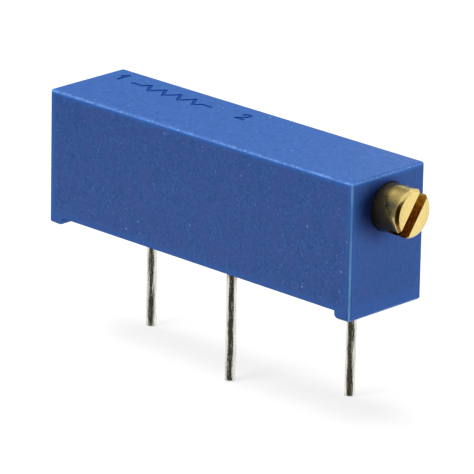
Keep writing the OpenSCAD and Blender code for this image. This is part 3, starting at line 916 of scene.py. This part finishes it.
def make_terminal(name, material):
    """One terminal: a wire whose tin is uneven, with its stop inside the resin."""
    low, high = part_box(name)
    centre = upright_axis(low, high)
    rows = terminal_rows(low.z, high.z, centre * WIRE_SEED)
    wire = revolved(f"tinned_{name}", rows, centre, UPRIGHT, WIRE_SEGMENTS, [material])
    smooth(wire, sharp_from=50)
    mount(wire, "housing_body", "tinned_wire", name)


def past_corner(x, y, middle, half):
    """How far a place is past the centre of the nearest round corner of the resin's outline."""
    return Vector((abs(x - middle.x) - half.x + RESIN_CORNER, abs(y - middle.y) - half.y + RESIN_CORNER))


def resin_depth(x, y, middle, half, stops):
    """How far the resin's skin is drawn outwards at a place by the walls and the terminals it wets."""
    inside = Vector([max(0, part) for part in past_corner(x, y, middle, half)])
    wall = RESIN_CORNER - inside.length
    if inside.length == 0:
        wall = min(half.x - abs(x - middle.x), half.y - abs(y - middle.y))
    near = min(math.hypot(x - stop.x, y - stop.y) for stop in stops) - STOP_R
    creep = math.exp(-max(0.0, wall) / RESIN_CREEP_L)
    creep += RESIN_CREEP_ON_WIRE * math.exp(-max(0.0, near) / RESIN_CREEP_L)
    swell = RESIN_SWELL * noise.noise(Vector((x, y, 0)) / MM * RESIN_SWELLS_PER_MM)
    return RESIN_CREEP * min(1.0, creep) + swell


def rounded_place(x, y, middle, half):
    """The place, brought inside the round corners of the resin's outline."""
    corner = past_corner(x, y, middle, half)
    if min(corner) <= 0 or corner.length <= RESIN_CORNER:
        return x, y
    corner *= RESIN_CORNER / corner.length
    reach_x, reach_y = half.x - RESIN_CORNER + corner.x, half.y - RESIN_CORNER + corner.y
    return middle.x + math.copysign(reach_x, x - middle.x), middle.y + math.copysign(reach_y, y - middle.y)


def resin_points(low, high, nx, ny):
    """Points of the resin's skin and then of its flat top, on a grid of nx by ny cells."""
    middle, half = (low + high) / 2, (high - low) / 2
    stops = [(a + b) / 2 for a, b in (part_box(name) for name in TERMINALS)]
    points = []
    for level in (0, 1):
        for i in range(nx + 1):
            for j in range(ny + 1):
                x, y = low.x + 2 * half.x * i / nx, low.y + 2 * half.y * j / ny
                x, y = rounded_place(x, y, middle, half)
                z = high.z if level else low.z - resin_depth(x, y, middle, half, stops)
                points.append((x, y, z))
    return points


def slab_faces(nx, ny):
    """Faces of a closed slab over a grid of nx by ny cells: below, above and round its edge."""
    row = ny + 1
    size = (nx + 1) * row
    faces = []
    for i in range(nx):
        for j in range(ny):
            a = i * row + j
            faces.append((a, a + 1, a + row + 1, a + row))
            faces.append((size + a, size + a + row, size + a + row + 1, size + a + 1))
    rim = [i * row for i in range(nx + 1)] + [nx * row + j for j in range(1, ny + 1)]
    rim += [i * row + ny for i in range(nx - 1, -1, -1)] + list(range(ny - 1, 0, -1))
    faces += [(a, b, b + size, a + size) for a, b in zip(rim, rim[1:] + rim[:1])]
    return faces


def terminal_room(name, top):
    """What one terminal and its stop take out of the resin."""
    wide, narrow = STOP_R + RESIN_GAP, WIRE_R + WIRE_WAVE
    step = STOP_Z[1] + RESIN_GAP
    rows = [(STOP_Z[0] - RESIN_CREEP, wide), (step, wide), (step, narrow), (top + RESIN_CREEP, narrow)]
    return revolved(f"{name}_room", rows, upright_axis(*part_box(name)), UPRIGHT, WIRE_SEGMENTS, [])


def make_resin():
    """The poured resin, drawn up the walls and the terminals, with a hole for each terminal."""
    low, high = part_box("sealing_resin")
    half = (high - low) / 2
    nx, ny = math.ceil(2 * half.x / RESIN_STEP), math.ceil(2 * half.y / RESIN_STEP)
    points = resin_points(low, high, nx, ny)
    resin = mesh_piece("resin_fill", points, slab_faces(nx, ny), [resin_material()])
    for name in TERMINALS:
        cut(resin, terminal_room(name, high.z))
    mend(resin)
    smooth(resin, sharp_from=50)
    mount(resin, "housing_body", "resin", "sealing_resin")


def look_from(azimuth, elevation):
    """Unit vector from the object towards a viewer or lamp; azimuth 0 is the -Y side, 90 the +X side."""
    flat = math.cos(elevation)
    return Vector((math.sin(azimuth) * flat, -math.cos(azimuth) * flat, math.sin(elevation)))


def make_camera():
    """The camera, at the photograph's viewing angle."""
    data = bpy.data.cameras.new("camera")
    data.lens = CAMERA_LENS
    data.sensor_width = CAMERA_SENSOR
    data.clip_start, data.clip_end = CAMERA_CLIP
    camera = bpy.data.objects.new("camera", data)
    bpy.context.scene.collection.objects.link(camera)
    back = look_from(CAMERA_AZIMUTH, CAMERA_ELEVATION)
    camera.location = CAMERA_TARGET + back * CAMERA_DISTANCE
    camera.rotation_mode = "QUATERNION"
    camera.rotation_quaternion = (-back).to_track_quat("-Z", "Y") @ Quaternion((0, 0, 1), CAMERA_ROLL)
    bpy.context.scene.camera = camera


def make_lamp(name, azimuth, elevation, distance, diameter, watts):
    """A soft round lamp that faces the object and that mirrors don't show."""
    data = bpy.data.lights.new(name, "AREA")
    data.shape = "DISK"
    data.size = diameter
    data.energy = watts
    lamp = bpy.data.objects.new(name, data)
    lamp.visible_glossy = False
    bpy.context.scene.collection.objects.link(lamp)
    towards = look_from(math.radians(azimuth), math.radians(elevation))
    lamp.location = CAMERA_TARGET + towards * distance
    lamp.rotation_mode = "QUATERNION"
    lamp.rotation_quaternion = (-towards).to_track_quat("-Z", "Y")


def seen_share(tree):
    """1 for rays that should see the white backdrop: straight, mirrored or refracted ones."""
    path = tree.nodes.new("ShaderNodeLightPath")
    share = path.outputs["Is Camera Ray"]
    for name in ("Is Glossy Ray", "Is Transmission Ray"):
        more = tree.nodes.new("ShaderNodeMath")
        more.operation = "MAXIMUM"
        tree.links.new(share, more.inputs[0])
        tree.links.new(path.outputs[name], more.inputs[1])
        share = more.outputs[0]
    return share


def make_world():
    """White to look at, dimmer as a lamp."""
    world = bpy.data.worlds.new("studio")
    world.use_nodes = True
    bpy.context.scene.world = world
    tree = world.node_tree
    back = tree.nodes["Background"]
    back.inputs["Color"].default_value = (1, 1, 1, 1)
    strength = tree.nodes.new("ShaderNodeMapRange")
    tree.links.new(seen_share(tree), strength.inputs["Value"])
    strength.inputs["To Min"].default_value = AMBIENT
    strength.inputs["To Max"].default_value = 1.0
    tree.links.new(strength.outputs[0], back.inputs["Strength"])


def floor_material():
    """White where it is lit and a soft grey in the object's shadow, but dull in the light it returns."""
    material = bpy.data.materials.new("pale_floor")
    material.use_nodes = True
    tree = material.node_tree
    nodes, links = tree.nodes, tree.links
    nodes.remove(nodes["Principled BSDF"])
    dull, bright = nodes.new("ShaderNodeBsdfDiffuse"), nodes.new("ShaderNodeBsdfDiffuse")
    dull.inputs["Color"].default_value = FLOOR_DULL
    bright.inputs["Color"].default_value = FLOOR_SEEN
    glow = nodes.new("ShaderNodeEmission")
    glow.inputs["Strength"].default_value = FLOOR_GLOW
    seen = nodes.new("ShaderNodeAddShader")
    links.new(bright.outputs[0], seen.inputs[0])
    links.new(glow.outputs[0], seen.inputs[1])
    pick = nodes.new("ShaderNodeMixShader")
    links.new(seen_share(tree), pick.inputs[0])
    links.new(dull.outputs[0], pick.inputs[1])
    links.new(seen.outputs[0], pick.inputs[2])
    links.new(pick.outputs[0], nodes["Material Output"].inputs["Surface"])
    return material


def make_floor(level):
    """Plain pale floor, which the lamps shine through from below and mirrors don't show."""
    half = FLOOR_SIZE / 2
    corners = [(-half, -half, level), (half, -half, level), (half, half, level), (-half, half, level)]
    floor = mesh_piece("floor", corners, [(0, 1, 2, 3)], [floor_material()])
    floor.visible_glossy = False
    floor.visible_shadow = False


def card_material(name, colour, levels):
    """A glow whose strength goes from the first level at the card's foot to the second at its top."""
    material = bpy.data.materials.new(name)
    material.use_nodes = True
    tree = material.node_tree
    tree.nodes.remove(tree.nodes["Principled BSDF"])
    height = tree.nodes.new("ShaderNodeSeparateXYZ")
    level = tree.nodes.new("ShaderNodeMapRange")
    glow = tree.nodes.new("ShaderNodeEmission")
    glow.inputs["Color"].default_value = colour
    level.inputs["To Min"].default_value, level.inputs["To Max"].default_value = levels
    tree.links.new(tree.nodes.new("ShaderNodeTexCoord").outputs["Generated"], height.inputs[0])
    tree.links.new(height.outputs["Z"], level.inputs["Value"])
    tree.links.new(level.outputs[0], glow.inputs["Strength"])
    tree.links.new(glow.outputs[0], tree.nodes["Material Output"].inputs["Surface"])
    return material


def make_card(name, radius, azimuths, heights, colour, levels):
    """A glowing upright wall, bent round the object, that only mirrors show."""
    vertices = []
    for i in range(CARD_STEPS + 1):
        towards = look_from(azimuths[0] + (azimuths[1] - azimuths[0]) * i / CARD_STEPS, 0)
        spot = CAMERA_TARGET + towards * radius
        vertices += [(spot.x, spot.y, height) for height in heights]
    faces = [(2 * i, 2 * i + 1, 2 * i + 3, 2 * i + 2) for i in range(CARD_STEPS)]
    card = mesh_piece(name, vertices, faces, [card_material(name, colour, levels)])
    card.visible_camera = False
    card.visible_diffuse = False
    card.visible_shadow = False
    card.visible_transmission = False


def dress_nodes(frame):
    """Gives each CAD node that stays the finish of its slot, and returns these finishes."""
    finishes = inner_materials()
    slots = {part["node"]: part["material_slot"] for part in frame["record"]["subparts"]}
    for name, node in frame["nodes"].items():
        if slots[name] in finishes:
            node.data.materials.clear()
            node.data.materials.append(finishes[slots[name]])
    return finishes


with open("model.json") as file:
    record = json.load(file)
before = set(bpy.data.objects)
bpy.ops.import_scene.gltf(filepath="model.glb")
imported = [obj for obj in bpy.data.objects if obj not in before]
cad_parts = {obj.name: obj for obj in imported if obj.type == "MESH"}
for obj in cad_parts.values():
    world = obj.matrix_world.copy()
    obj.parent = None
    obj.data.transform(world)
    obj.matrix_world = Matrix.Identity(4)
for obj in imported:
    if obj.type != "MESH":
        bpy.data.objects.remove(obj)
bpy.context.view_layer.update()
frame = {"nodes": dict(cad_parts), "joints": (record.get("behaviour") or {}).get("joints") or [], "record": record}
bpy.context.scene.view_settings.view_transform = "Standard"

coupling = frame["record"]["behaviour"]["couplings"][0]
screw_joint = next(joint for joint in frame["joints"] if joint["name"] == "screw_turn")["pos_m"]
pitch = TURN / abs(coupling["ratio"])

finishes = dress_nodes(frame)
make_housing(frame, screw_joint)
make_screw(screw_joint, pitch)
make_nut(screw_joint, pitch, finishes["carriage_plastic"])
tin = tin_material()
for terminal in TERMINALS:
    make_terminal(terminal, tin)
make_resin()

make_camera()
make_world()
make_floor(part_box("terminal_1")[0].z)
make_card("dark_room", ROOM_RADIUS, ROOM_AZIMUTHS, ROOM_HEIGHTS, ROOM_COLOUR, ROOM_LEVELS)
make_card("grey_wall", WALL_RADIUS, WALL_AZIMUTHS, WALL_HEIGHTS, WALL_COLOUR, WALL_LEVELS)
for lamp_name, settings in LAMPS.items():
    make_lamp(lamp_name, *settings)
